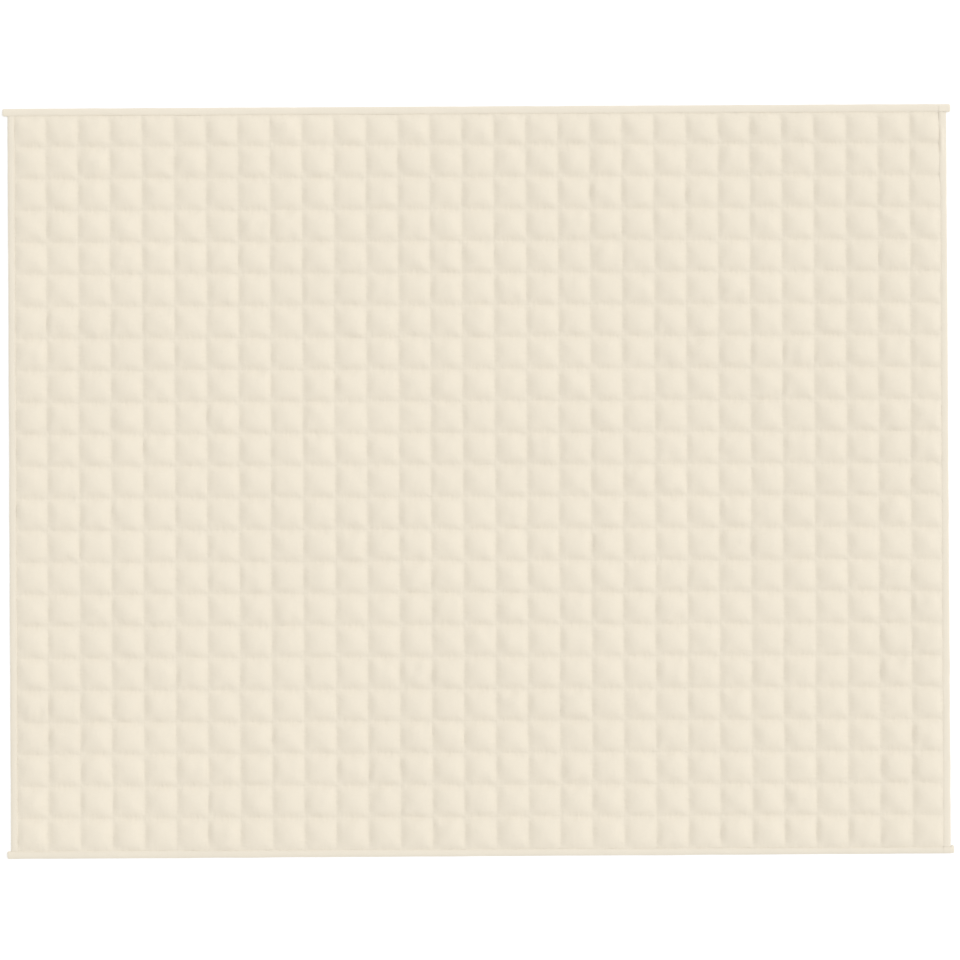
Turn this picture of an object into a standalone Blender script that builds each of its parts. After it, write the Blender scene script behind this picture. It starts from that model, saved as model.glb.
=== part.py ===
"""Quilted weighted blanket, laid out flat.

One filled quilt of square pockets, with a folded tape sewn over each of its four edges.
Metres, +Z up. The origin is under the middle of the blanket, on the surface it lies on.
"""

import math
import random

import bmesh
import bpy
from mathutils import Matrix

# Pockets: a square grid, whose outermost rows and columns are cut short by the edges
COLUMNS = 29
ROWS = 23
PITCH = 0.100
SIDE_COLUMN = 0.0955
TOP_ROW = 0.093
BOTTOM_ROW = 0.101

# Heights of the quilt above the surface it lies on
SEAM_TOP = 0.0030
PUFF_SHOULDER = 0.0050
PUFF_CROWN = 0.0038
CROWN_UNEVENNESS = 0.15
SHOULDER_INSET = 0.024
FILLING_SEED = 11

# Binding: a tape folded over the edge, with the quilt's margin in its slot
TAPE_WIDTH = 0.021
TAPE_THICKNESS = 0.0056
TAPE_WALL = 0.0010
TAPE_ROUNDING = 0.0024
ROUNDING_SEGMENTS = 3
SHARPEST_SMOOTH = math.radians(40)
GAP = 0.0003
WELD = 0.00001

# How far the tucked ends of the top and bottom tapes run past the side tapes
TOP_END_LEFT = 0.0170
TOP_END_RIGHT = 0.0125
BOTTOM_END_LEFT = 0.0120
BOTTOM_END_RIGHT = 0.0125

# The quilt's thin margin inside the tapes, and the strip where its underside draws in
SLOT_DEPTH = TAPE_WIDTH - TAPE_WALL
MARGIN = SLOT_DEPTH - GAP
MARGIN_BOTTOM = TAPE_WALL + GAP
MARGIN_TOP = TAPE_THICKNESS - TAPE_WALL - GAP
DRAW_IN = 0.020

# The pocketed area, between the inner edges of the tapes
FIELD_WIDTH = (COLUMNS - 2) * PITCH + 2 * SIDE_COLUMN
FIELD_DEPTH = (ROWS - 2) * PITCH + TOP_ROW + BOTTOM_ROW

# Tapes: name, turn about Z in degrees, and how far they run past the field at start and end
TAPES = (
    ("binding_bottom", 0, TAPE_WIDTH + BOTTOM_END_LEFT, TAPE_WIDTH + BOTTOM_END_RIGHT),
    ("binding_top", 180, TAPE_WIDTH + TOP_END_RIGHT, TAPE_WIDTH + TOP_END_LEFT),
    ("binding_right", 90, -GAP, -GAP),
    ("binding_left", -90, -GAP, -GAP),
)

CREAM = (0.84, 0.78, 0.65, 1.0)
TAPE_CREAM = (0.86, 0.80, 0.67, 1.0)
CLOTH_ROUGHNESS = 0.85


def clear_scene():
    for obj in list(bpy.data.objects):
        bpy.data.objects.remove(obj, do_unlink=True)


def new_collection(name):
    collection = bpy.data.collections.new(name)
    bpy.context.scene.collection.children.link(collection)
    return collection


def cloth_material(name, color):
    material = bpy.data.materials.new(name)
    material.use_nodes = True
    shader = material.node_tree.nodes["Principled BSDF"]
    shader.inputs["Base Color"].default_value = color
    shader.inputs["Roughness"].default_value = CLOTH_ROUGHNESS
    shader.inputs["Metallic"].default_value = 0.0
    return material


def add_object(name, bm, collection, material=None):
    mesh = bpy.data.meshes.new(name)
    bm.to_mesh(mesh)
    bm.free()
    if material:
        mesh.materials.append(material)
    obj = bpy.data.objects.new(name, mesh)
    collection.objects.link(obj)
    return obj


def box(low, high):
    """A closed box between two corners."""
    bm = bmesh.new()
    size = [b - a for a, b in zip(low, high)]
    middle = [(a + b) / 2 for a, b in zip(low, high)]
    matrix = Matrix.Translation(middle) @ Matrix.Diagonal((*size, 1.0))
    bmesh.ops.create_cube(bm, size=1.0, matrix=matrix)
    return bm


def seam_lines(first_cell, last_cell, cells):
    """Where the cells' edges run along one axis, with the whole field centred on zero."""
    widths = [first_cell] + [PITCH] * (cells - 2) + [last_cell]
    middle = sum(widths) / 2
    return [sum(widths[:count]) - middle for count in range(cells + 1)]


def facing(bm, direction):
    """The faces that look up, for a direction of 1, or down, for -1."""
    return [face for face in bm.faces if face.normal.z * direction > face.normal.xy.length]


def press_underside(bm):
    """Press the underside flat inside the margin and a strip that draws in."""
    base = facing(bm, -1)
    bmesh.ops.inset_region(bm, faces=base, thickness=MARGIN + GAP, use_even_offset=True)
    bmesh.ops.inset_region(
        bm, faces=base, thickness=DRAW_IN, depth=MARGIN_BOTTOM, use_even_offset=True
    )
    bm.normal_update()


def cut_seams(bm, lines, axis):
    """Cut the top across at each line."""
    for line in lines:
        top = facing(bm, 1)
        edges = {edge for face in top for edge in face.edges}
        bmesh.ops.bisect_plane(
            bm,
            geom=top + list(edges),
            dist=WELD,
            plane_co=[line * part for part in axis],
            plane_no=axis,
        )


def sink_seams(bm):
    """Draw the seams down between the pockets."""
    for vert in bm.verts:
        inside = abs(vert.co.x) < FIELD_WIDTH / 2 - WELD and abs(vert.co.y) < FIELD_DEPTH / 2 - WELD
        if inside and vert.co.z > MARGIN_BOTTOM:
            vert.co.z = SEAM_TOP


def puff_pockets(bm):
    """Raise each pocket to a shoulder and then to a crown, a little unevenly filled."""
    pockets = []
    for face in facing(bm, 1):
        center = face.calc_center_bounds()
        if abs(center.x) < FIELD_WIDTH / 2 and abs(center.y) < FIELD_DEPTH / 2:
            pockets.append(face)
    bmesh.ops.inset_individual(
        bm, faces=pockets, thickness=SHOULDER_INSET, depth=PUFF_SHOULDER, use_even_offset=True
    )
    filling = random.Random(FILLING_SEED)
    for pocket in pockets:
        fullness = filling.uniform(1 - CROWN_UNEVENNESS, 1 + CROWN_UNEVENNESS)
        bmesh.ops.poke(bm, faces=[pocket], offset=PUFF_CROWN * fullness)


def make_quilt(collection, material):
    half_x = FIELD_WIDTH / 2 + MARGIN
    half_y = FIELD_DEPTH / 2 + MARGIN
    bm = box((-half_x, -half_y, MARGIN_BOTTOM), (half_x, half_y, MARGIN_TOP))
    bm.normal_update()
    press_underside(bm)
    cut_seams(bm, seam_lines(SIDE_COLUMN, SIDE_COLUMN, COLUMNS), (1.0, 0.0, 0.0))
    cut_seams(bm, seam_lines(BOTTOM_ROW, TOP_ROW, ROWS), (0.0, 1.0, 0.0))
    sink_seams(bm)
    bm.normal_update()
    puff_pockets(bm)
    return add_object("quilt", bm, collection, material)


def fold_and_end_edges(bm, ends_too):
    """The long edges of the tape's fold at -Y, and with ends_too those round its end faces."""
    chosen = []
    for edge in bm.edges:
        a, b = (vert.co for vert in edge.verts)
        runs_along = abs(a.x - b.x) > TAPE_WIDTH
        on_fold = max(a.y, b.y) < -TAPE_WIDTH / 2
        if (runs_along and on_fold) or (ends_too and not runs_along):
            chosen.append(edge)
    return chosen


def make_binding(name, turn, before, after, parts, cutters, material):
    """A tape along X with its fold at -Y, turned about Z and moved out to its edge.

    Where its ends run past the field they are tucked in and closed.
    """
    lengthwise = turn in (0, 180)
    half_length = (FIELD_WIDTH if lengthwise else FIELD_DEPTH) / 2
    reach = (FIELD_DEPTH if lengthwise else FIELD_WIDTH) / 2
    tucked = before > 0

    bm = box((-half_length - before, -TAPE_WIDTH, 0.0), (half_length + after, 0.0, TAPE_THICKNESS))
    bmesh.ops.bevel(
        bm,
        geom=fold_and_end_edges(bm, tucked),
        offset=TAPE_ROUNDING,
        segments=ROUNDING_SEGMENTS,
        profile=0.5,
        affect="EDGES",
    )
    tape = add_object(name, bm, parts, material)
    tape.data.shade_smooth()
    tape.data.set_sharp_from_angle(angle=SHARPEST_SMOOTH)

    slot_half = half_length + (SLOT_DEPTH if tucked else TAPE_WIDTH)
    slot = box(
        (-slot_half, -SLOT_DEPTH, TAPE_WALL),
        (slot_half, TAPE_WIDTH, TAPE_THICKNESS - TAPE_WALL),
    )
    cutter = add_object(name + "_slot", slot, cutters)
    cutter.hide_render = True
    cutter.display_type = "WIRE"

    cut = tape.modifiers.new("slot", "BOOLEAN")
    cut.operation = "DIFFERENCE"
    cut.solver = "EXACT"
    cut.object = cutter

    angle = math.radians(turn)
    for obj in (tape, cutter):
        obj.rotation_euler = (0.0, 0.0, angle)
        obj.location = (reach * math.sin(angle), -reach * math.cos(angle), 0.0)


def main():
    clear_scene()
    parts = new_collection("quilted_weighted_blanket")
    cutters = new_collection("cutters")
    make_quilt(parts, cloth_material("quilt_cloth", CREAM))
    tape_cloth = cloth_material("binding_tape", TAPE_CREAM)
    for name, turn, before, after in TAPES:
        make_binding(name, turn, before, after, parts, cutters, tape_cloth)


main()
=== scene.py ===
import math

import bmesh
import bpy
import numpy as np
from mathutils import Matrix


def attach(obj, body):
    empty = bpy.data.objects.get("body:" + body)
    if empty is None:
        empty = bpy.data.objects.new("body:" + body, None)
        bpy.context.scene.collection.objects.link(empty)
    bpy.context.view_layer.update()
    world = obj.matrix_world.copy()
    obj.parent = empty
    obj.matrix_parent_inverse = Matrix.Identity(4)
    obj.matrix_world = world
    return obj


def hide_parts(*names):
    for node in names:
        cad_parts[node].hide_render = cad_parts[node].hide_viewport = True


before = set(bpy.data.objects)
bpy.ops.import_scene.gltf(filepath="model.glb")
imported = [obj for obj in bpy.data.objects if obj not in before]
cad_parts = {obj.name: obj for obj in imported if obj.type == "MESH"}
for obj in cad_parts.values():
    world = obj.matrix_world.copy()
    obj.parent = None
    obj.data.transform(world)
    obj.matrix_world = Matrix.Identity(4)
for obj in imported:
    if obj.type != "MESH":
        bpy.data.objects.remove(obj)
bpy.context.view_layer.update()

scene = bpy.context.scene

# The blanket lies flat on the floor: X is its width, Y its length, Z up, in metres.
# Its sewing pattern, which every piece below is worked out from.
pattern = {
    "columns": 29,
    "rows": 23,
    "pocket": 0.100,          # pitch of the quilting seams
    "leftColumn": 0.0985,     # the outermost columns and rows are cut to the binding
    "rightColumn": 0.0955,
    "topRow": 0.096,
    "bottomRow": 0.1025,
    "wander": 0.0007,         # how far a seam strays from its chalk line
    "wanderWaves": (30, 0.08, 0.6),    # how many waves it strays in, the shortest and the longest
    "wanderSeed": 41,
    "heldFrom": 0.06,         # how near the binding the seams begin to run true
}


def seamPlaces(first, pitch, last, cells):
    # cell edges along one axis, centred on zero
    steps = np.concatenate([[0.0, first], np.full(cells - 2, pitch), [last]])
    edges = np.cumsum(steps)
    return edges - edges[-1] / 2


seamX = seamPlaces(pattern["leftColumn"], pattern["pocket"], pattern["rightColumn"], pattern["columns"])
seamY = seamPlaces(pattern["bottomRow"], pattern["pocket"], pattern["topRow"], pattern["rows"])
fieldX = seamX[-1]
fieldY = seamY[-1]
tiny = 1e-7    # nearer than this counts as touching


def waves(x, y, seed, count, shortest, longest):
    # a smooth random field of about unit size: plane sine waves of random heading, phase and length
    rng = np.random.default_rng(seed)
    total = np.zeros(np.broadcast(x, y).shape)
    for _ in range(count):
        heading = rng.uniform(0.0, 2 * math.pi)
        length = math.exp(rng.uniform(math.log(shortest), math.log(longest)))
        phase = rng.uniform(0.0, 2 * math.pi)
        along = np.cos(heading) * x + np.sin(heading) * y
        total = total + np.sin(2 * math.pi * along / length + phase)
    return total / math.sqrt(count / 2)


def smoothStep(value):
    # 0 below 0, 1 above 1, and an even S between
    t = np.clip(value, 0.0, 1.0)
    return t * t * (3 - 2 * t)


def strayed(x, y):
    # seams wander by a fraction of a millimetre, and not at all where the binding holds them
    near = pattern["heldFrom"]
    hold = smoothStep((fieldX - np.abs(x)) / near) * smoothStep((fieldY - np.abs(y)) / near)
    size = pattern["wander"] * hold
    seed, how = pattern["wanderSeed"], pattern["wanderWaves"]
    return x + size * waves(x, y, seed, *how), y + size * waves(x, y, seed + 1, *how)


def gridQuads(index, flip=False):
    # the quads between neighbouring entries of a 2-D array of point numbers
    corners = [index[:-1, :-1], index[:-1, 1:], index[1:, 1:], index[1:, :-1]]
    if flip:
        corners.reverse()
    return np.stack(corners, -1).reshape(-1, 4)


def newMesh(name, points, quads, triangles=None):
    # points as rows of x, y, z; faces as rows of point numbers
    mesh = bpy.data.meshes.new(name)
    loops = quads.ravel()
    starts = np.arange(0, loops.size, 4)
    if triangles is not None:
        starts = np.concatenate([starts, loops.size + np.arange(0, triangles.size, 3)])
        loops = np.concatenate([loops, triangles.ravel()])
    mesh.vertices.add(len(points))
    mesh.vertices.foreach_set("co", np.asarray(points, np.float32).ravel())
    mesh.loops.add(loops.size)
    mesh.loops.foreach_set("vertex_index", loops.astype(np.int32))
    mesh.polygons.add(starts.size)
    mesh.polygons.foreach_set("loop_start", starts.astype(np.int32))
    mesh.update(calc_edges=True)
    mesh.validate()
    return mesh


def addPiece(name, mesh, material, smooth=True):
    # an object at the origin, with its place in its mesh
    if smooth:
        mesh.shade_smooth()
    mesh.materials.append(material)
    piece = bpy.data.objects.new(name, mesh)
    scene.collection.objects.link(piece)
    return piece


def setUv(mesh, name, pointUv):
    # one UV for each point, carried to its loops
    corner = np.empty(len(mesh.loops), np.int32)
    mesh.loops.foreach_get("vertex_index", corner)
    layer = mesh.uv_layers.new(name=name)
    layer.data.foreach_set("uv", pointUv[corner].astype(np.float32).ravel())


cloth = {
    "color": (0.763, 0.698, 0.581),
    "tapeColor": (0.757, 0.696, 0.585),
    "threadColor": (0.70, 0.64, 0.52),
    "darker": 0.965,           # how far the dye clouds either way
    "lighter": 1.03,
    "paintedSeamShade": 0.25,         # painted shade: how much of that range the colour is darkened towards the seams
    "cloudGrain": 2.3,         # waves to the metre, as all the grains are
    "slubGrain": (90.0, 900.0, 90.0),
    "slubShare": 0.35,         # of the clouding that comes from slubs in the yarn
    "yarnPitch": 0.00042,      # between neighbouring yarns
    "weaveHeight": 0.00004,
    "weaveStrength": 0.6,
    "roughness": 0.86,
    "gloss": 0.25,
    "sheen": 0.22,             # a faint warm bloom at grazing angles
    "sheenRoughness": 0.45,
    "sheenTint": (1.0, 0.97, 0.91),
    "rumple": 0.55,            # small unevenness all over, as a share of the gathers
    "puckerHeight": 0.0026,    # small gathers along the quilting
    "puckerReach": 0.30,       # how far they run from the seam, in pockets
    "puckerGrain": (22.0, 60.0),       # away from the seam and along it
    "rumpleGrain": 34.0,
    "tapeGathers": 0.0005,     # height of the binding's gathers
    "tapeGrain": (110.0, 30.0),
    "tapeCloudGrain": 9.0,
    "threadDarker": 0.93,
    "threadLighter": 1.04,
    "threadRoughness": 0.6,
    "threadTwist": 900.0,      # turns to the metre
    "threadRelief": 0.00008,
}


def node(tree, kind, inputs=None, **settings):
    # adds a shader node; each input is a value, or another node's output to be linked
    made = tree.nodes.new(kind)
    for key, value in settings.items():
        setattr(made, key, value)
    for key, value in (inputs or {}).items():
        if isinstance(value, bpy.types.NodeSocket):
            tree.links.new(value, made.inputs[key])
        else:
            made.inputs[key].default_value = value
    return made


def maths(tree, operation, *values, clamp=False):
    made = node(tree, "ShaderNodeMath", dict(enumerate(values)), operation=operation, use_clamp=clamp)
    return made.outputs[0]


def noise(tree, place, scale=1.0, detail=2.0):
    made = node(tree, "ShaderNodeTexNoise", {"Vector": place, "Scale": scale, "Detail": detail})
    return made.outputs["Fac"]


def stretched(tree, place, scale):
    return node(tree, "ShaderNodeMapping", {"Vector": place, "Scale": scale}).outputs[0]


def bumped(tree, height, distance, strength=1.0, **under):
    # a bump, laid over the one that is given as Normal
    inputs = {"Height": height, "Distance": distance, "Strength": strength, **under}
    return node(tree, "ShaderNodeBump", inputs).outputs[0]


def newMaterial(name):
    material = bpy.data.materials.new(name)
    material.use_nodes = True
    tree = material.node_tree
    return material, tree, tree.nodes["Principled BSDF"]


def yarns(tree, across, along, pitch):
    # plain weave: rounded warp and weft yarns that pass over each other in turn
    warp = maths(tree, "SINE", maths(tree, "MULTIPLY", across, math.pi / pitch))
    weft = maths(tree, "SINE", maths(tree, "MULTIPLY", along, math.pi / pitch))
    over = maths(tree, "MULTIPLY", warp, weft)
    ribs = maths(tree, "MAXIMUM", maths(tree, "ABSOLUTE", warp), maths(tree, "ABSOLUTE", weft))
    return maths(tree, "MULTIPLY_ADD", over, 0.5, ribs)


def clothShader(shader, color):
    # matt cotton, in one color until a material links its own
    shader.inputs["Base Color"].default_value = (*color, 1.0)
    shader.inputs["Roughness"].default_value = cloth["roughness"]
    shader.inputs["Specular IOR Level"].default_value = cloth["gloss"]
    shader.inputs["Sheen Weight"].default_value = cloth["sheen"]
    shader.inputs["Sheen Roughness"].default_value = cloth["sheenRoughness"]
    shader.inputs["Sheen Tint"].default_value = (*cloth["sheenTint"], 1.0)


def clouded(tree, factor, color, darker=cloth["darker"], lighter=cloth["lighter"]):
    # the color from a little darker, where the factor is 0, to a little lighter
    mix = node(tree, "ShaderNodeMix", {"Factor": factor}, data_type="RGBA")
    mix.inputs["A"].default_value = (*(part * darker for part in color), 1.0)
    mix.inputs["B"].default_value = (*(part * lighter for part in color), 1.0)
    return mix.outputs["Result"]


def makeQuiltCloth():
    # cotton with a fine weave, gathered a little along every seam
    material, tree, shader = newMaterial("quiltCloth")
    clothShader(shader, cloth["color"])
    place = node(tree, "ShaderNodeTexCoord").outputs["Object"]
    part = node(tree, "ShaderNodeSeparateXYZ", {0: place})

    # nearness to the seams each way, from the piece's own map: 1 on a seam, 0 past the gathers' reach
    counted = node(tree, "ShaderNodeUVMap", uv_map="pockets").outputs["UV"]
    cell = node(tree, "ShaderNodeSeparateXYZ", {0: counted})

    def nearness(direction):
        toSeam = maths(tree, "PINGPONG", cell.outputs[direction], 0.5)
        away = maths(tree, "DIVIDE", toSeam, cloth["puckerReach"])
        return maths(tree, "POWER", maths(tree, "SUBTRACT", 1.0, away, clamp=True), 1.5)

    nearX = nearness("X")
    nearY = nearness("Y")

    # gathers: ridges that run away from the seam, from noise stretched each way
    def gathers(scale, near):
        ridges = maths(tree, "SUBTRACT", noise(tree, stretched(tree, place, scale), detail=1.5), 0.5)
        return maths(tree, "MULTIPLY", ridges, near)

    long, close = cloth["puckerGrain"]
    pucker = maths(tree, "ADD", gathers((long, close, long), nearX), gathers((close, long, long), nearY))
    rumple = noise(tree, place, cloth["rumpleGrain"])
    soft = maths(tree, "MULTIPLY_ADD", rumple, cloth["rumple"], pucker)
    softBump = bumped(tree, soft, cloth["puckerHeight"])
    weave = yarns(tree, part.outputs["X"], part.outputs["Y"], cloth["yarnPitch"])
    fineBump = bumped(tree, weave, cloth["weaveHeight"], cloth["weaveStrength"], Normal=softBump)
    tree.links.new(fineBump, shader.inputs["Normal"])

    # colour: faint clouding, slubs in the yarn, and painted shade that darkens it towards the seams
    cloud = noise(tree, place, cloth["cloudGrain"], 3.0)
    slub = noise(tree, stretched(tree, place, cloth["slubGrain"]))
    broad = maths(tree, "MULTIPLY", cloud, 1 - cloth["slubShare"])
    tone = maths(tree, "MULTIPLY_ADD", slub, cloth["slubShare"], broad)
    # painted shade: the colour goes darker towards the seams, where their valleys would lie in shade
    seam = maths(tree, "MAXIMUM", nearX, nearY)
    tone = maths(tree, "MULTIPLY_ADD", seam, -cloth["paintedSeamShade"], tone, clamp=True)
    tree.links.new(clouded(tree, tone, cloth["color"]), shader.inputs["Base Color"])
    return material


def makeTapeCloth():
    # the binding: the same cotton cut as a tape, its map running along the tape in metres
    material, tree, shader = newMaterial("tapeCloth")
    clothShader(shader, cloth["tapeColor"])
    onTape = node(tree, "ShaderNodeUVMap", uv_map="along").outputs["UV"]
    part = node(tree, "ShaderNodeSeparateXYZ", {0: onTape})
    place = node(tree, "ShaderNodeTexCoord").outputs["Object"]
    weave = yarns(tree, part.outputs["X"], part.outputs["Y"], cloth["yarnPitch"])
    gather = noise(tree, stretched(tree, onTape, (*cloth["tapeGrain"], 1.0)), detail=1.5)
    softBump = bumped(tree, gather, cloth["tapeGathers"])
    fineBump = bumped(tree, weave, cloth["weaveHeight"], cloth["weaveStrength"], Normal=softBump)
    tree.links.new(fineBump, shader.inputs["Normal"])
    cloud = noise(tree, place, cloth["tapeCloudGrain"], 3.0)
    tree.links.new(clouded(tree, cloud, cloth["tapeColor"]), shader.inputs["Base Color"])
    return material


def makeThread():
    # spun thread: fine twist lines, a little more lustre than the cloth
    material, tree, shader = newMaterial("sewingThread")
    clothShader(shader, cloth["threadColor"])
    shader.inputs["Roughness"].default_value = cloth["threadRoughness"]
    place = node(tree, "ShaderNodeTexCoord").outputs["Object"]
    twist = {"Vector": place, "Scale": cloth["threadTwist"], "Distortion": 1.5}
    ply = node(tree, "ShaderNodeTexWave", twist, bands_direction="DIAGONAL").outputs["Fac"]
    tree.links.new(bumped(tree, ply, cloth["threadRelief"], 0.5), shader.inputs["Normal"])
    color = clouded(tree, ply, cloth["threadColor"], cloth["threadDarker"], cloth["threadLighter"])
    tree.links.new(color, shader.inputs["Base Color"])
    return material


quiltCloth = makeQuiltCloth()
tapeCloth = makeTapeCloth()
thread = makeThread()
print("materials ready")

quilt = {
    "seamTop": 0.0034,         # height of the face at the seams, above the floor
    "seamBack": 0.0016,        # height of the back there
    "margin": 0.0150,          # runs on inside the binding
    "pressed": 0.0027,         # height of the margin's face, where the binding is sewn through it
    "pressedFrom": 0.0030,     # how far in under the binding that is
    "crown": 0.0116,           # rise of a well-filled pocket above its seams
    "doming": 0.40,            # the beads run to the middle: 0 leaves the pocket as taut as it was blown up
    "channel": 0.08,           # how far from a seam the cloth lies flat, in pockets
    "creased": 0.35,           # how far a pocket is creased from its corners, like an envelope: 0 to 1
    "creaseSpread": 0.28,      # more or less than that, pocket by pocket
    "apexDrift": 0.15,         # of the creases' meeting point from the middle, in pockets
    "creaseSharpness": 5,
    "creaseBulge": 1.3,        # of the cloth between the creases: 1 is flat
    "backSag": 0.0060,         # how far the back would hang, were the floor not there
    "backSlope": 1.25,         # how steeply the back comes down from its seams to the floor
    "backFlat": 0.97,          # how much of the way down counts as lying on it
    "faceStops": (0.0, 0.045, 0.12, 0.22, 0.35, 0.5, 0.65, 0.78, 0.88, 0.955),
    "backStops": (0.0, 0.12, 0.35, 0.5, 0.65, 0.88),
    "fillSeed": 7,
    "fillSpread": 0.35,        # how much fuller the fullest pocket is than the emptiest
    "creaseFillSpread": 0.2,   # and the same for their creased tents
    "wellFilled": 97,          # the percentile of heights that counts as a well-filled pocket's
}

# The face is blown up by Blender's cloth, worked at ten times its size so that a pocket is one unit
puff = {
    "size": 10.0,
    "frames": 20,
    "pressure": 1.5,
    "leastSlack": -0.005,      # spare cloth between the seams, pocket by pocket
    "mostSlack": -0.06,
    "start": 0.065,            # the shallow pillow that it starts from
    "unevenness": 0.018,
    "unevenWaves": (40, 0.04, 0.10),
    "beadDrift": 0.35,         # how unevenly the filling lies within a pocket
    "driftWaves": (40, 0.04, 0.12),
    "mostBeads": 1.6,          # the fill and drift that take the whole pressure
    "leastBeads": 0.05,
    "levels": 20,              # steps in the weights of the beads and of the slack
    "mass": 0.3,
    "stiffness": 15.0,
    "bending": 0.5,
    "quality": 5,              # the solver's steps in a frame
}


def gridLines(seams, stops):
    # the stops of each cell in turn, and the margin's two lines at both ends
    width = np.diff(seams)
    inside = (seams[:-1, None] + width[:, None] * np.array(stops)[None, :]).ravel()
    pressed = seams[-1] + quilt["pressedFrom"]
    outer = seams[-1] + quilt["margin"]
    return np.concatenate([[-outer, -pressed], inside, [seams[-1], pressed, outer]])


def cellShare(place, seams):
    # which cell a place is in, and how far across it, from 0 to 1
    cell = np.clip(np.searchsorted(seams, place + tiny, side="right") - 1, 0, len(seams) - 2)
    share = (place - seams[cell]) / (seams[cell + 1] - seams[cell])
    return cell, np.clip(share, 0.0, 1.0)


def pillow(shareX, shareY, power=0.55):
    # a square pillow: 1 in the middle, 0 on its four seams, and the steeper beside them the lower the power
    across = 4 * shareX * (1 - shareX)
    along = 4 * shareY * (1 - shareY)
    return (np.clip(across, 0, 1) * np.clip(along, 0, 1)) ** power


def fillAmount(cellX, cellY, seed, spread):
    # each pocket's own share of beads, from 1 - spread to 1
    rng = np.random.default_rng(seed)
    return 1 - spread * rng.random((pattern["rows"], pattern["columns"]))[cellY, cellX]


def puffedFace(x, y):
    # the face of the quilt as a grid of points, puffed by the cloth solver between pinned seams
    cellX, shareX = cellShare(x, seamX)
    cellY, shareY = cellShare(y, seamY)
    gridX, gridY = np.meshgrid(x, y)
    shares = np.meshgrid(shareX, shareY)
    cells = np.meshgrid(cellX, cellY)
    held = pillow(*shares) < tiny
    seed = quilt["fillSeed"]
    fill = fillAmount(*cells, seed, quilt["fillSpread"])

    size = puff["size"]
    start = puff["start"] * pillow(*shares)
    start += puff["unevenness"] * waves(gridX, gridY, seed + 1, *puff["unevenWaves"]) * ~held
    drift = 1 + puff["beadDrift"] * waves(gridX, gridY, seed + 3, *puff["driftWaves"])
    pushed = np.clip(fill * drift / puff["mostBeads"], puff["leastBeads"], 1.0)
    points = np.stack([gridX * size, gridY * size, start], -1).reshape(-1, 3)
    index = np.arange(gridX.size).reshape(gridX.shape)
    mesh = newMesh("puffing", points, gridQuads(index))
    sheet = bpy.data.objects.new("puffing", mesh)
    scene.collection.objects.link(sheet)

    seams = sheet.vertex_groups.new(name="seams")
    seams.add(np.flatnonzero(held).tolist(), 1.0, "REPLACE")
    beads = sheet.vertex_groups.new(name="beads")
    slack = sheet.vertex_groups.new(name="slack")
    spare = fillAmount(*cells, seed + 2, 1.0)
    for group, amount in ((beads, pushed), (slack, spare)):
        levels = np.round(amount.ravel() * puff["levels"]).astype(int)
        for level in np.unique(levels):
            group.add(np.flatnonzero(levels == level).tolist(), level / puff["levels"], "REPLACE")

    solver = sheet.modifiers.new("cloth", "CLOTH")
    settings = solver.settings
    settings.quality = puff["quality"]
    settings.mass = puff["mass"]
    settings.tension_stiffness = puff["stiffness"]
    settings.compression_stiffness = puff["stiffness"]
    settings.shear_stiffness = puff["stiffness"] / 3
    settings.bending_stiffness = puff["bending"]
    settings.vertex_group_mass = "seams"
    settings.use_pressure = True
    settings.uniform_pressure_force = puff["pressure"]
    settings.vertex_group_pressure = "beads"
    settings.shrink_min = puff["leastSlack"]
    settings.shrink_max = puff["mostSlack"]
    settings.vertex_group_shrink = "slack"
    settings.effector_weights.gravity = 0.0
    solver.point_cache.frame_start = 1
    solver.point_cache.frame_end = puff["frames"]
    scene.frame_start = 1
    scene.frame_end = puff["frames"]
    for moment in range(1, puff["frames"] + 1):
        scene.frame_set(moment)

    blownUp = bpy.data.meshes.new_from_object(sheet.evaluated_get(bpy.context.evaluated_depsgraph_get()))
    flat = np.empty(gridX.size * 3, np.float32)
    blownUp.vertices.foreach_get("co", flat)
    bpy.data.objects.remove(sheet)
    bpy.data.meshes.remove(mesh)
    bpy.data.meshes.remove(blownUp)
    scene.frame_set(1)
    placed = flat.astype(float).reshape(*gridX.shape, 3)
    return placed[..., 0] / size, placed[..., 1] / size, placed[..., 2] / size


def ring(index):
    # the outer ring of a 2-D array of point numbers, counter-clockwise from its first corner
    return np.concatenate([index[0, :-1], index[:-1, -1], index[-1, :0:-1], index[:0:-1, 0]])


def ringPlaces(lineX, lineY):
    # how far round the ring each of its points is, one side to the unit
    spanX = (lineX - lineX[0]) / (lineX[-1] - lineX[0])
    spanY = (lineY - lineY[0]) / (lineY[-1] - lineY[0])
    return np.concatenate([spanX[:-1], 1 + spanY[:-1], 2 + (1 - spanX[:0:-1]), 3 + (1 - spanY[:0:-1])])


def rimTriangles(fineRing, finePlaces, coarseRing, coarsePlaces):
    # closes the gap between a fine ring above and a coarse ring below, whose places are among the fine ones
    count = len(fineRing)
    starts = np.searchsorted(finePlaces, coarsePlaces - tiny)
    ends = np.append(starts[1:], count)
    middles = (starts + ends + 1) // 2
    owner = np.searchsorted(starts, np.arange(count), side="right") - 1
    late = np.arange(count) >= middles[owner]
    foot = coarseRing[(owner + late) % len(coarseRing)]
    fine = np.stack([fineRing, foot, np.roll(fineRing, -1)], -1)
    coarse = np.stack([coarseRing, np.roll(coarseRing, -1), fineRing[middles % count]], -1)
    return np.concatenate([fine, coarse])


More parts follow.
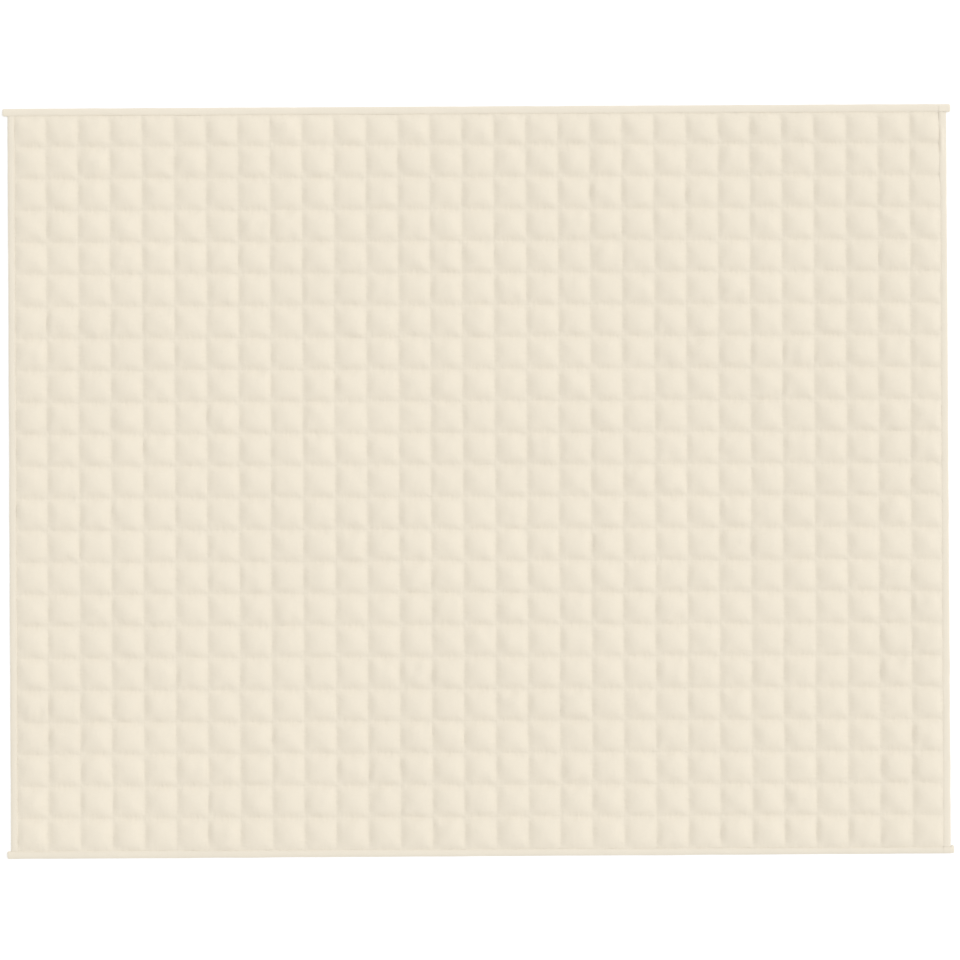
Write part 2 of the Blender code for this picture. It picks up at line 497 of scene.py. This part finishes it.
def envelope(shareX, shareY, cellX, cellY):
    # A tent of four slopes whose ridges run from the corners to an apex, and how much of it each pocket has.
    # Its level is a soft minimum of the nearness to the four seams, each reckoned as 1 at the apex.
    rng = np.random.default_rng(quilt["fillSeed"] + 4)
    apexX, apexY, much = 2 * rng.random((3, pattern["rows"], pattern["columns"]))[:, cellY, cellX] - 1
    apexX = 0.5 + quilt["apexDrift"] * apexX
    apexY = 0.5 + quilt["apexDrift"] * apexY
    up = np.minimum(shareX / apexX, (1 - shareX) / (1 - apexX)) + 1e-6
    across = np.minimum(shareY / apexY, (1 - shareY) / (1 - apexY)) + 1e-6
    sharp = quilt["creaseSharpness"]
    level = (up ** -sharp + across ** -sharp) ** (-1 / sharp)
    tent = 1 - (1 - np.clip(level, 0, 1)) ** quilt["creaseBulge"]
    tent = tent * fillAmount(cellX, cellY, quilt["fillSeed"], quilt["creaseFillSpread"])
    return tent, quilt["creased"] + quilt["creaseSpread"] * much


def settled(rise, x, y):
    # the puffed pockets as they lie: beads run in from the seams, creases from the corners. About 0 to 1.
    cellX, shareX = cellShare(x, seamX)
    cellY, shareY = cellShare(y, seamY)
    shares = np.meshgrid(shareX, shareY)
    rise = rise * pillow(*shares, quilt["doming"])
    rise = rise / np.percentile(rise, quilt["wellFilled"])
    tent, much = envelope(*shares, *np.meshgrid(cellX, cellY))
    rise = rise + much * (tent - rise)
    for share in shares:
        rise = rise * smoothStep(np.minimum(share, 1 - share) / quilt["channel"])
    return rise / np.percentile(rise, quilt["wellFilled"])


def makeQuilt():
    # the face stands over the seams' height by crown times the settled rise, and the back lies under it
    faceX = gridLines(seamX, quilt["faceStops"])
    faceY = gridLines(seamY, quilt["faceStops"])
    x, y, rise = puffedFace(faceX, faceY)
    rise = quilt["seamTop"] + quilt["crown"] * settled(rise, faceX, faceY)
    flatX, flatY = np.meshgrid(faceX, faceY)
    wanderX, wanderY = strayed(flatX, flatY)
    x = x + wanderX - flatX
    y = y + wanderY - flatY
    bound = np.ones(rise.shape, bool)
    bound[2:-2, 2:-2] = False
    rise = np.where(bound, quilt["pressed"], rise)
    face = np.stack([x, y, rise], -1)

    # the back sags like the face, but the floor presses it flat except beside the seams
    backX = gridLines(seamX, quilt["backStops"])
    backY = gridLines(seamY, quilt["backStops"])
    cellX, shareX = cellShare(backX, seamX)
    cellY, shareY = cellShare(backY, seamY)
    bx, by = strayed(*np.meshgrid(backX, backY))
    sag = quilt["backSag"] * pillow(*np.meshgrid(shareX, shareY))
    down = np.tanh(quilt["backSlope"] * sag / quilt["seamBack"]) / quilt["backFlat"]
    back = np.stack([bx, by, quilt["seamBack"] * (1 - np.minimum(1.0, down))], -1)

    points = np.concatenate([face.reshape(-1, 3), back.reshape(-1, 3)])
    faceIndex = np.arange(x.size).reshape(x.shape)
    backIndex = x.size + np.arange(bx.size).reshape(bx.shape)
    quads = np.concatenate([gridQuads(faceIndex), gridQuads(backIndex, flip=True)])
    rim = rimTriangles(ring(faceIndex), ringPlaces(faceX, faceY), ring(backIndex), ringPlaces(backX, backY))
    mesh = newMesh("quiltBody", points, quads, rim)

    # the map counts pockets: whole numbers are seams
    def counted(place, seams):
        cell, share = cellShare(place, seams)
        return cell + share

    faceMap = np.stack(np.meshgrid(counted(faceX, seamX), counted(faceY, seamY)), -1).reshape(-1, 2)
    backMap = np.stack(np.meshgrid(counted(backX, seamX), counted(backY, seamY)), -1).reshape(-1, 2)
    setUv(mesh, "pockets", np.concatenate([faceMap, backMap]))
    piece = addPiece("quiltBody", mesh, quiltCloth)
    print("quiltBody:", len(mesh.polygons), "faces, highest", round(float(rise.max()) * 1000, 1), "mm")
    return piece


quiltBody = makeQuilt()
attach(quiltBody, "root")
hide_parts("quilt")

stitch = {
    "pitch": 0.0050,
    "length": 0.0038,
    "width": 0.0009,
    "height": 0.0006,
    "proud": 0.0001,           # of its middle above the cloth at the seam
}


def stitchRow(centers, headings, length, width, height):
    # each stitch is a spindle: two pointed ends and a four-cornered waist, copied to every centre
    shape = np.array([(-0.5, 0, -0.5), (0.5, 0, -0.5), (0, -0.5, 0), (0, 0.5, 0), (0, 0, 0.5), (0, 0, -0.5)])
    shape = shape * (length, width, height)
    ends = np.array([(0, 4, 2), (0, 3, 4), (0, 5, 3), (0, 2, 5), (1, 2, 4), (1, 4, 3), (1, 3, 5), (1, 5, 2)])
    cos, sin = np.cos(headings)[:, None], np.sin(headings)[:, None]
    x = centers[:, :1] + cos * shape[:, 0] - sin * shape[:, 1]
    y = centers[:, 1:2] + sin * shape[:, 0] + cos * shape[:, 1]
    z = centers[:, 2:] + shape[:, 2]
    points = np.stack([x, y, z], -1).reshape(-1, 3)
    faces = (6 * np.arange(len(centers))[:, None, None] + ends).reshape(-1, 3)
    return points, faces


def makeSeamStitches(name, lines, reach, lengthwise):
    # one row of stitches along every inner seam of one direction
    places = np.arange(-reach + stitch["pitch"], reach - stitch["pitch"] / 2, stitch["pitch"])
    along, across = np.meshgrid(places, lines)
    x, y = (across, along) if lengthwise else (along, across)
    x, y = strayed(x.ravel(), y.ravel())
    centers = np.stack([x, y, np.full(x.shape, quilt["seamTop"] + stitch["proud"])], -1)
    headings = np.full(len(x), math.pi / 2 if lengthwise else 0.0)
    points, faces = stitchRow(centers, headings, stitch["length"], stitch["width"], stitch["height"])
    mesh = newMesh(name, points, np.empty((0, 4), int), faces)
    piece = addPiece(name, mesh, thread)
    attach(piece, "root")
    print(name + ":", len(centers), "stitches")


makeSeamStitches("stitchesLengthwise", seamX[1:-1], fieldY, True)
makeSeamStitches("stitchesCrosswise", seamY[1:-1], fieldX, False)

tape = {
    "width": 0.021,            # as it is meant to be; the tucked ends run on from this far past the field
    "wall": 0.0010,            # thickness of the layer that lies on the floor
    "fold": 0.0012,            # rounding of the folded edge
    "lip": (0.0035, 0.0002),   # height of the sewn edge, and how much higher a plump tape's is
    "turnedIn": 0.0040,        # of its flat width, along its hems
    "sewnAt": 0.0030,          # of the sewing line, in from the tape's inner edge
    "sewnSpread": 0.0020,      # how far beside that line the cloth is drawn
    "ripple": 0.00015,         # gathers along the sewing line
    "rippleBeside": 0.3,       # how much of them is left away from it
    "looseness": 0.0002,
    "waver": 0.00025,          # of the folded edge and of the sewn one, in and out
    "rippleWaves": (30, 0.007, 0.022),     # how many waves each is made of, the shortest and the longest
    "looseWaves": (20, 0.03, 0.3),
    "foldWaves": (14, 0.05, 0.4),
    "sewnWaves": (14, 0.02, 0.12),
    "heldFrom": 0.03,          # how near a crossing the gathers begin to die away
    "sharpest": 50,            # degrees: edges steeper than this are shaded sharp
    "step": 0.006,             # between sections along the tape
    "gap": 0.0001,             # between the ends of the side tapes and the tapes that cross them
}

# The tape's section, as places from the field's edge and heights. Its top layer climbs from the thin fold
# over the turned-in hem and comes down to the sewn edge. The slot for the quilt is under it.
tapeProfile = {
    "under": (0.0, -0.006, -0.012),
    "topFromFold": (0.0015, 0.0040, 0.0060, 0.0085, 0.0110, 0.0130),    # the only places from the fold
    "topFromField": (-0.0058, -0.0046, -0.0038, -0.0030, -0.0022, -0.0012, -0.0004),
    "topHeights": (0.0026, 0.0039, 0.0046, 0.0050, 0.0052, 0.0053,
                   0.0053, 0.0051, 0.0049, 0.0047, 0.0046, 0.0044, 0.0042),
    "slotRoof": ((0.0, 0.00345), (-0.0024, 0.0034), (-0.0046, 0.0034),
                 (-0.0080, 0.0035), (-0.0130, 0.0033), (-0.0160, 0.0028)),
    "slotEnd": ((-0.0165, 0.0026), (-0.0165, 0.0016)),
    "slotFloor": (-0.0160, -0.0100, -0.0030, 0.0),
}

# The tucked ends of the top and bottom tapes, and the pressed ends of the left one
tapeEnds = {
    "round": 0.0060,           # how long the rounding is
    "leastWidth": 0.62,        # of the very end, as a share of the tape's
    "leastHeight": 0.35,
    "shutOver": 0.0020,        # how quickly the slot shuts past the quilt
    "shutHeight": 0.00345,
    "full": 0.0060,            # how much further in the bottom tape's right-hand end reaches
    "fullFrom": 0.0025,        # from here on, which is just clear of the side tape
    "fullOver": 0.0030,
    "fullPressed": 0.45,       # and how much flatter it lies there
    "pressedOver": 0.0060,
    "pressedHeight": 0.0036,
}

# Each tape is worked out along +X with its fold at -Y and then turned out to its own edge. Its row has its
# piece, node, turn in degrees, width, how much wider it is at its end than at its start, plumpness, and how
# far its tucked ends run past the side tapes, at the start and at the end. The side tapes have none.
tapes = (
    ("bindingBottom", "binding_bottom", 0, 0.0218, -0.0042, 1.0, 0.0120, 0.0125),
    ("bindingTop", "binding_top", 180, 0.0238, -0.0014, 1.0, 0.0110, 0.0170),
    ("bindingRight", "binding_right", 90, 0.0210, -0.0040, 0.4, None, None),
    ("bindingLeft", "binding_left", -90, 0.0217, 0.0, 1.0, None, None),
)

# The right tape's sewn edge has come up near the head of the blanket. Both tapes that cross it ride over it.
cameUp = {
    "places": (0.900, 0.945, 0.985, 1.015, 1.035, 1.060, 1.085, 1.105, 1.130, 1.150),   # along the tape
    "amounts": (0.0, 0.18, 0.22, 0.30, 0.85, 1.0, 0.85, 0.25, 0.20, 0.30),
    "allUp": 0.2,              # the amount from which the edge has come up and slipped in all the way
    "free": 0.010,             # how wide a strip of it has come loose
    "crest": 0.0042,           # height of the ridge that the loose cloth makes beside its edge
    "crestAt": 0.0055,         # in from the edge
    "crestSpread": 0.0045,
    "edge": 0.0007,            # how far the edge itself comes up
    "slip": 0.0038,            # and slips in over the quilt
    "rideFrom": {"bindingTop": 0.0052, "bindingBottom": 0.0024},    # in from the field's edge
    "rideHeight": {"bindingTop": 0.0014, "bindingBottom": 0.0008},
    "rideOver": 0.0024,        # how quickly they step up
    "rideDown": 0.03,          # and how far they take to lie flat again
    "rideRound": 0.007,        # how far in from the folded edge they rise
    "rideStations": (-0.001, 0.003, 9),    # their sections round the step: the first, the last, how many
}


def tapeSection(width, plumpness):
    # The closed outline of the folded tape, where inwards is +, 0 is the field's edge and -width the fold.
    # It runs along the underside to the fold, round it in a half circle, back over the top through its
    # heights, down the lip, and home through the slot. The second array numbers those stretches.
    wall, fold = tape["wall"], tape["fold"]
    turn = np.linspace(-math.pi / 2, math.pi / 2, 9)
    under = np.stack([tapeProfile["under"], np.zeros(len(tapeProfile["under"]))], -1)
    outer = np.stack([-width + fold - fold * np.cos(turn), fold + fold * np.sin(turn)], -1)
    places = np.concatenate([-width + np.array(tapeProfile["topFromFold"]), tapeProfile["topFromField"]])
    heights = np.array(tapeProfile["topHeights"])
    thin, plump = tape["lip"]
    edge = thin + plump * plumpness
    top = np.stack([places, np.minimum(heights, edge + plumpness * (heights - thin - plump))], -1)
    lip = np.array([(0.0, edge)])
    roof = np.array(tapeProfile["slotRoof"])
    inner = np.array(tapeProfile["slotEnd"])
    floor = np.stack([tapeProfile["slotFloor"], np.full(len(tapeProfile["slotFloor"]), wall)], -1)
    stretches = [under, outer, top, lip, roof, inner, floor]
    return np.concatenate(stretches), np.repeat(np.arange(7), [len(stretch) for stretch in stretches])


def tapeStations(name, low, high, half):
    # where the sections of a tape stand: evenly, and closer at its tucked ends and where it shuts or rides
    even = np.linspace(low, high, int((high - low) / tape["step"]))
    if name not in cameUp["rideFrom"]:
        return even
    bend = tapeEnds["round"] * (1 - np.cos(np.linspace(0, math.pi / 2, 7)))
    shut = half + quilt["margin"]
    shutting = np.array([half - tapeEnds["shutOver"], shut, shut + tapeEnds["shutOver"]])
    ride = half - cameUp["rideFrom"][name] + np.linspace(*cameUp["rideStations"])
    if name == "bindingTop":
        ride = -ride
    full = half + tape["width"] + tapeEnds["fullFrom"] + np.linspace(0, tapeEnds["fullOver"], 4)
    even = even[(even > low + tapeEnds["round"]) & (even < high - tapeEnds["round"])]
    return np.sort(np.concatenate([even, low + bend, high - bend, shutting, -shutting, ride, full]))


def gathered(along, across, z, width, half, upper, seed):
    # The top layer rises and falls by ripple times short waves, most on the sewing line, and by looseness
    # times long ones off it, fading out over the quarter next to the fold. Both edges waver.
    # Where one tape crosses another, the sewn edge lies still.
    held = smoothStep((half - np.abs(along)) / tape["heldFrom"])
    line = np.exp(-((across + tape["sewnAt"]) / tape["sewnSpread"]) ** 2)
    inward = np.clip(1 + across / width, 0, 1)
    ripple = tape["ripple"] * waves(along, 0 * along, seed, *tape["rippleWaves"])
    loose = tape["looseness"] * waves(along, across, seed + 1, *tape["looseWaves"])
    lift = ripple * (tape["rippleBeside"] + line) + loose * (1 - line)
    z = np.where(upper, z + lift * held * np.minimum(1, 4 * inward), z)
    folded = smoothStep((-across / width - 0.5) / 0.5)
    across = across + tape["waver"] * waves(along, 0 * along, seed + 2, *tape["foldWaves"]) * folded
    sewn = (1 - folded) * held
    return across + tape["waver"] * waves(along, 0 * along, seed + 3, *tape["sewnWaves"]) * sewn, z


def comeUp(name, along, across, z, top, upper):
    # The right tape gets a bell-shaped ridge beside its sewn edge, and the edge itself goes up and in, both
    # by the amounts at their places. The tapes that cross it rise in a step there and lie down again.
    free = smoothStep((across + cameUp["free"]) / cameUp["free"]) * upper
    if name == "bindingRight":
        much = np.interp(along, cameUp["places"], cameUp["amounts"])
        atOnce = np.minimum(1, much / cameUp["allUp"]) * free
        ridge = np.exp(-((across + cameUp["crestAt"]) / cameUp["crestSpread"]) ** 2) * top
        return across + cameUp["slip"] * atOnce, z + cameUp["edge"] * atOnce + cameUp["crest"] * much * ridge
    if name in cameUp["rideFrom"]:
        pastField = (along if name == "bindingBottom" else -along) - fieldX
        up = smoothStep((pastField + cameUp["rideFrom"][name]) / cameUp["rideOver"])
        step = up * (1 - smoothStep(pastField / cameUp["rideDown"]))
        rounded = smoothStep((across - across.min(1, keepdims=True)) / cameUp["rideRound"]) * upper
        return across, z + cameUp["rideHeight"][name] * step * (rounded + free)
    return across, z


def tuckedIn(name, along, across, z, width, half, slot):
    # Past the quilt the slot shuts to an upright wall, and towards each end the section shrinks about its
    # middle along a quarter circle. The bottom tape's right-hand end is first stretched in and flattened.
    beyond = smoothStep((np.abs(along) - half - quilt["margin"]) / tapeEnds["shutOver"])
    rows = [np.argmax(slot), len(slot) - 1]
    shut = np.interp(np.arange(len(slot)), rows, [tapeEnds["shutHeight"], tape["wall"]])
    across = np.where(slot, across * (1 - beyond), across)
    z = np.where(slot, z + (shut - z) * beyond, z)
    if name == "bindingBottom":
        clear = along - half - tape["width"] - tapeEnds["fullFrom"]
        full = smoothStep(clear / tapeEnds["fullOver"]) * np.clip(1 + across / width, 0, 1)
        across = across + tapeEnds["full"] * full
        z = z * (1 - tapeEnds["fullPressed"] * full)
    toEnd = np.minimum(along - along[0], along[-1] - along)
    close = np.sqrt(1 - (1 - np.clip(toEnd / tapeEnds["round"], 0, 1)) ** 2)
    least, lowest = tapeEnds["leastWidth"], tapeEnds["leastHeight"]
    across = -width / 2 + (across + width / 2) * (least + (1 - least) * close)
    return across, z * (lowest + (1 - lowest) * close)


def pressedDown(along, z, half, upper):
    # the ends of the left tape are pressed down to the tapes that cross them
    pressed = 1 - smoothStep((half - np.abs(along)) / tapeEnds["pressedOver"])
    return np.where(upper, z - np.maximum(0, z - tapeEnds["pressedHeight"]) * pressed, z)


def closedTube(name, points):
    # rows of closed outlines, each joined to the next, with the first and the last filled in
    rows, count = points.shape[:2]
    index = np.arange(rows * count).reshape(rows, count)
    index = np.concatenate([index, index[:, :1]], 1)
    mesh = newMesh(name, points.reshape(-1, 3), gridQuads(index))
    work = bmesh.new()
    work.from_mesh(mesh)
    work.verts.ensure_lookup_table()
    for outline in (index[0, :-1], index[-1, :-1]):
        work.faces.new([work.verts[i] for i in outline])
    bmesh.ops.triangulate(work, faces=[face for face in work.faces if len(face.verts) > 4])
    bmesh.ops.recalc_face_normals(work, faces=work.faces)
    work.to_mesh(mesh)
    work.free()
    return mesh


def makeTape(name, cadNode, turn, width, flare, plumpness, before, after, seed):
    # the section is carried along its edge, widening by the flare from start to end, and turned out
    half, reach = (fieldX, fieldY) if turn in (0, 180) else (fieldY, fieldX)
    tucked = before is not None
    low = -half - (tape["width"] + before if tucked else -tape["gap"])
    high = half + (tape["width"] + after if tucked else -tape["gap"])
    stations = tapeStations(name, low, high, half)
    along = stations[:, None]
    section, stretch = tapeSection(width, plumpness)
    top = stretch == 2
    upper = (stretch >= 2) & (stretch <= 4)
    share = (along - low) / (high - low)
    across = section[:, 0] * (1 + flare * (share - 0.5) / width)
    z = np.broadcast_to(section[:, 1], across.shape)
    across, z = gathered(along, across, z, width, half, upper, seed)
    across, z = comeUp(name, along, across, z, top, upper)
    if name == "bindingLeft":
        z = pressedDown(along, z, half, upper)
    if tucked:
        across, z = tuckedIn(name, along, across, z, width, half, stretch >= 4)

    angle = math.radians(turn)
    outX, outY = math.sin(angle), -math.cos(angle)
    x = along * math.cos(angle) + (reach - across) * outX
    y = along * math.sin(angle) + (reach - across) * outY
    points = np.stack([x, y, z], -1)
    mesh = closedTube(name, points)
    girth = np.concatenate([[0], np.cumsum(np.hypot(*np.diff(section, axis=0).T))])
    setUv(mesh, "along", np.stack(np.broadcast_arrays(along, girth), -1).reshape(-1, 2))
    piece = addPiece(name, mesh, tapeCloth)
    piece.data.set_sharp_from_angle(angle=math.radians(tape["sharpest"]))
    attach(piece, "root")
    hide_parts(cadNode)
    print(name + ":", len(mesh.polygons), "faces")

    # where its stitches lie: along the sewing line, on the top layer
    sewn = np.argmin(np.where(top, np.abs(section[:, 0] + tape["sewnAt"]), 1.0))
    places = np.arange(low + tapeEnds["round"], high - tapeEnds["round"], stitch["pitch"])
    line = np.stack([np.interp(places, stations, points[:, sewn, part]) for part in range(3)], -1)
    return line, np.full(len(line), angle)


def makeTapeStitches(rows):
    # the rows of stitches along the four tapes, as one piece
    centers = np.concatenate([line for line, _ in rows])
    centers[:, 2] += stitch["proud"]
    headings = np.concatenate([heading for _, heading in rows])
    points, faces = stitchRow(centers, headings, stitch["length"], stitch["width"], stitch["height"])
    mesh = newMesh("stitchesBinding", points, np.empty((0, 4), int), faces)
    piece = addPiece("stitchesBinding", mesh, thread)
    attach(piece, "root")
    print("stitchesBinding:", len(centers), "stitches")


makeTapeStitches([makeTape(*row, seed=100 + 10 * number) for number, row in enumerate(tapes)])

view = {
    "lens": 85.0,
    "sensor": 36.0,
    "frameWidth": 3.001,       # metres across the picture, at the height of the seams
    "aim": (0.0032, 0.0050),
    "roll": -0.27,             # degrees
    "farEnd": 50.0,
}

studio = {
    "keyStrength": 0.90,
    "keyFrom": (7.4, 4.0, 4.3),    # the upper right, rather low
    "keySpread": 25.0,             # degrees: how broad and soft the key light is
    "evenLight": 1.0,
    "floorHalf": 12.0,
    "floorColor": (0.97, 0.97, 0.97),
    "floorRoughness": 0.9,
}


def makeCamera():
    # straight above, as high as its lens needs to see the frame's width
    lens = bpy.data.cameras.new("camera")
    lens.lens = view["lens"]
    lens.sensor_width = view["sensor"]
    lens.clip_end = view["farEnd"]
    camera = bpy.data.objects.new("camera", lens)
    height = view["frameWidth"] * view["lens"] / view["sensor"] + quilt["seamTop"]
    camera.location = (*view["aim"], height)
    camera.rotation_euler = (0.0, 0.0, math.radians(view["roll"]))
    scene.collection.objects.link(camera)
    scene.camera = camera


def makeStudio():
    # one broad soft light from the upper right, and even light from all round
    world = bpy.data.worlds.new("studio")
    world.use_nodes = True
    background = world.node_tree.nodes["Background"]
    background.inputs["Color"].default_value = (1.0, 1.0, 1.0, 1.0)
    background.inputs["Strength"].default_value = studio["evenLight"]
    scene.world = world
    lamp = bpy.data.lights.new("keyLight", "SUN")
    lamp.energy = studio["keyStrength"]
    lamp.angle = math.radians(studio["keySpread"])
    light = bpy.data.objects.new("keyLight", lamp)
    light.location = studio["keyFrom"]
    light.rotation_euler = light.location.to_track_quat("Z", "Y").to_euler()
    scene.collection.objects.link(light)
    scene.view_settings.view_transform = "Standard"


def makeFloor():
    # a plain pale sheet, far wider than any view of the blanket
    material, _, shader = newMaterial("floorPaint")
    shader.inputs["Base Color"].default_value = (*studio["floorColor"], 1.0)
    shader.inputs["Roughness"].default_value = studio["floorRoughness"]
    half = studio["floorHalf"]
    points = np.array([(-half, -half, 0), (half, -half, 0), (half, half, 0), (-half, half, 0)])
    floor = addPiece("floor", newMesh("floor", points, np.array([[0, 1, 2, 3]])), material, smooth=False)


makeCamera()
makeStudio()
makeFloor()
print("camera, lights and floor ready")
